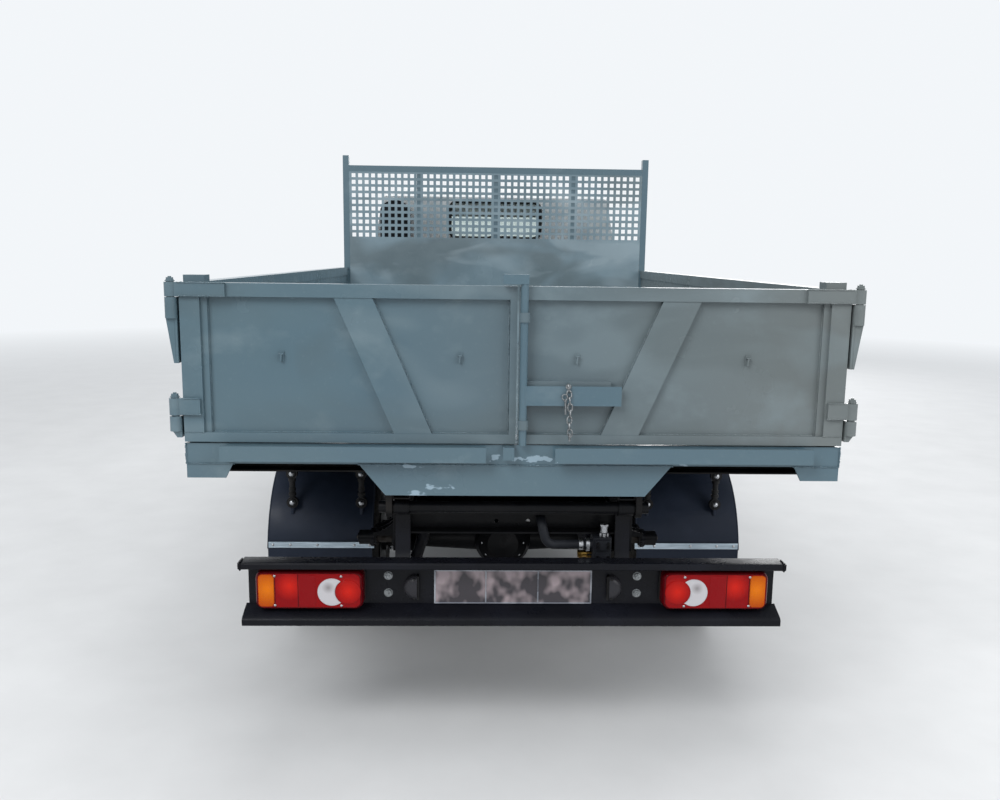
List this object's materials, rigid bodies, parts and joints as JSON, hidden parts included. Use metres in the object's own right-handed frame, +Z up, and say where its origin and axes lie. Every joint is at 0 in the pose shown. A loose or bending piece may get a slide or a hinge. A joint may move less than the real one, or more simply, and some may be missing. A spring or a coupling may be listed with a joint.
{
  "type": "dump truck",
  "caption": "Light forward-control dump truck with a tilting cab and a steel bed that tips to the rear, with a perforated headboard and side-hung tailboard doors.",
  "frame": {"origin": "on the ground, under the middle of the truck", "axes": "+Y forward along the truck, +X to its right, +Z up"},
  "size_m": [2.24, 5.32, 2.2909],
  "materials": {
    "chassis_black": "satin black chassis paint",
    "spring_steel": "dull spring steel",
    "guard_plastic": "black moulded plastic",
    "engine_iron": "cast iron",
    "tank_metal": "satin black",
    "rod_chrome": "hard chrome",
    "bed_paint": "glossy blue grey enamel",
    "cab_paint": "glossy white",
    "cab_glass": "clear glass",
    "interior_plastic": "grained dark grey",
    "seat_fabric": "woven dark cloth",
    "lamp_plastic": "clear red and amber lenses",
    "plate_white": "blank white",
    "wheel_paint": "silver enamel",
    "tyre": "black rubber"
  },
  "bodies": {
    "chassis": {"frame_rails": "chassis_black", "frame_crossmembers": "chassis_black", "subframe_rails": "chassis_black", "rear_axle": "chassis_black", "front_axle": "chassis_black", "leaf_springs": "spring_steel", "spring_hangers": "chassis_black", "engine_block": "engine_iron", "prop_shaft": "chassis_black", "fuel_tank": "tank_metal", "battery_box": "chassis_black", "exhaust": "engine_iron", "rear_bumper": "chassis_black", "tail_lamps": "lamp_plastic", "number_plate": "plate_white", "mudguards": "guard_plastic", "front_bumper": "guard_plastic", "valve_block": "engine_iron", "shock_absorbers": "chassis_black"},
    "steer_left": {"knuckle_left": "chassis_black"},
    "steer_right": {"knuckle_right": "chassis_black"},
    "tie_rod": {"tie_rod": "chassis_black"},
    "wheel_front_left": {"front_left_wheel": "wheel_paint", "front_left_tyre": "tyre"},
    "wheel_front_right": {"front_right_wheel": "wheel_paint", "front_right_tyre": "tyre"},
    "wheels_rear_left": {"rear_left_wheels": "wheel_paint", "rear_left_tyres": "tyre"},
    "wheels_rear_right": {"rear_right_wheels": "wheel_paint", "rear_right_tyres": "tyre"},
    "cab": {"cab_floor": "cab_paint", "cab_front": "cab_paint", "cab_pillars": "cab_paint", "cab_roof": "cab_paint", "cab_back": "cab_paint", "cab_side_panels": "cab_paint", "cab_glass": "cab_glass", "dashboard": "interior_plastic", "seats": "seat_fabric", "headlamps": "lamp_plastic", "air_intake": "guard_plastic"},
    "cab_door_left": {"cab_door_left": "cab_paint", "door_glass_left": "cab_glass"},
    "cab_door_right": {"cab_door_right": "cab_paint", "door_glass_right": "cab_glass"},
    "bed": {"bed_beams": "chassis_black", "bed_cross_beams": "chassis_black", "bed_floor": "bed_paint", "bed_sides": "bed_paint", "headboard_frame": "bed_paint", "headboard_panel": "bed_paint", "rear_sill": "bed_paint"},
    "rear_door_left": {"rear_door_left": "bed_paint"},
    "rear_door_right": {"rear_door_right": "bed_paint"},
    "lock_bar": {"lock_bar": "bed_paint"},
    "cylinder_barrel": {"cylinder_barrel": "engine_iron"},
    "cylinder_stage_1": {"cylinder_stage_1": "rod_chrome"},
    "cylinder_stage_2": {"cylinder_stage_2": "rod_chrome"},
    "cylinder_rod": {"cylinder_rod": "rod_chrome"}
  },
  "joints": [
    {"name": "steer_left_turn", "type": "hinge", "parent": "chassis", "child": "steer_left", "pos_m": [-0.665, 1.545, 0.34], "axis": [0, 0, 1], "range_deg": [-35, 35]},
    {"name": "steer_right_turn", "type": "hinge", "parent": "chassis", "child": "steer_right", "pos_m": [0.665, 1.545, 0.34], "axis": [0, 0, 1], "range_deg": [-35, 35]},
    {"name": "tie_rod_pivot", "type": "hinge", "parent": "steer_left", "child": "tie_rod", "pos_m": [-0.665, 1.415, 0.25], "axis": [0, 0, 1], "range_deg": [-35, 35]},
    {"name": "front_left_spin", "type": "hinge", "parent": "steer_left", "child": "wheel_front_left", "pos_m": [-0.75, 1.545, 0.34], "axis": [1, 0, 0], "continuous": true},
    {"name": "front_right_spin", "type": "hinge", "parent": "steer_right", "child": "wheel_front_right", "pos_m": [0.75, 1.545, 0.34], "axis": [1, 0, 0], "continuous": true},
    {"name": "rear_left_spin", "type": "hinge", "parent": "chassis", "child": "wheels_rear_left", "pos_m": [-0.75, -1.355, 0.34], "axis": [1, 0, 0], "continuous": true},
    {"name": "rear_right_spin", "type": "hinge", "parent": "chassis", "child": "wheels_rear_right", "pos_m": [0.75, -1.355, 0.34], "axis": [1, 0, 0], "continuous": true},
    {"name": "cab_tilt", "type": "hinge", "parent": "chassis", "child": "cab", "pos_m": [0, 2.54, 0.54], "axis": [-1, 0, 0], "range_deg": [0, 45]},
    {"name": "cab_door_left_swing", "type": "hinge", "parent": "cab", "child": "cab_door_left", "pos_m": [-0.908, 2.404, 1], "axis": [0, 0, -1], "range_deg": [0, 65]},
    {"name": "cab_door_right_swing", "type": "hinge", "parent": "cab", "child": "cab_door_right", "pos_m": [0.908, 2.404, 1], "axis": [0, 0, 1], "range_deg": [0, 65]},
    {"name": "bed_tip", "type": "hinge", "parent": "chassis", "child": "bed", "pos_m": [0, -2.52, 0.812], "axis": [1, 0, 0], "range_deg": [0, 50]},
    {"name": "cylinder_swing", "type": "hinge", "parent": "chassis", "child": "cylinder_barrel", "pos_m": [0, -1.02, 0.54], "axis": [1, 0, 0], "range_deg": [0, 23.26]},
    {"name": "stage_1_slide", "type": "slide", "parent": "cylinder_barrel", "child": "cylinder_stage_1", "axis": [0, 0, 1], "range_m": [0, 0.4096]},
    {"name": "stage_2_slide", "type": "slide", "parent": "cylinder_stage_1", "child": "cylinder_stage_2", "axis": [0, 0, 1], "range_m": [0, 0.4096]},
    {"name": "rod_slide", "type": "slide", "parent": "cylinder_stage_2", "child": "cylinder_rod", "axis": [0, 0, 1], "range_m": [0, 0.4096]},
    {"name": "rear_door_left_swing", "type": "hinge", "parent": "bed", "child": "rear_door_left", "pos_m": [-1.075, -2.62, 1.3], "axis": [0, 0, -1], "range_deg": [0, 240]},
    {"name": "rear_door_right_swing", "type": "hinge", "parent": "bed", "child": "rear_door_right", "pos_m": [1.075, -2.62, 1.3], "axis": [0, 0, 1], "range_deg": [0, 240]},
    {"name": "lock_bar_turn", "type": "hinge", "parent": "rear_door_right", "child": "lock_bar", "pos_m": [0.018, -2.636, 1.3], "axis": [0, 0, -1], "range_deg": [0, 100]}
  ],
  "couplings": [
    {"joint": "steer_right_turn", "follows": "steer_left_turn", "ratio": 1},
    {"joint": "tie_rod_pivot", "follows": "steer_left_turn", "ratio": -1},
    {"joint": "cylinder_swing", "follows": "bed_tip", "ratio": 0.46515},
    {"joint": "stage_1_slide", "follows": "bed_tip", "m_per_rad": 0.46937},
    {"joint": "stage_2_slide", "follows": "bed_tip", "m_per_rad": 0.46937},
    {"joint": "rod_slide", "follows": "bed_tip", "m_per_rad": 0.46937}
  ]
}
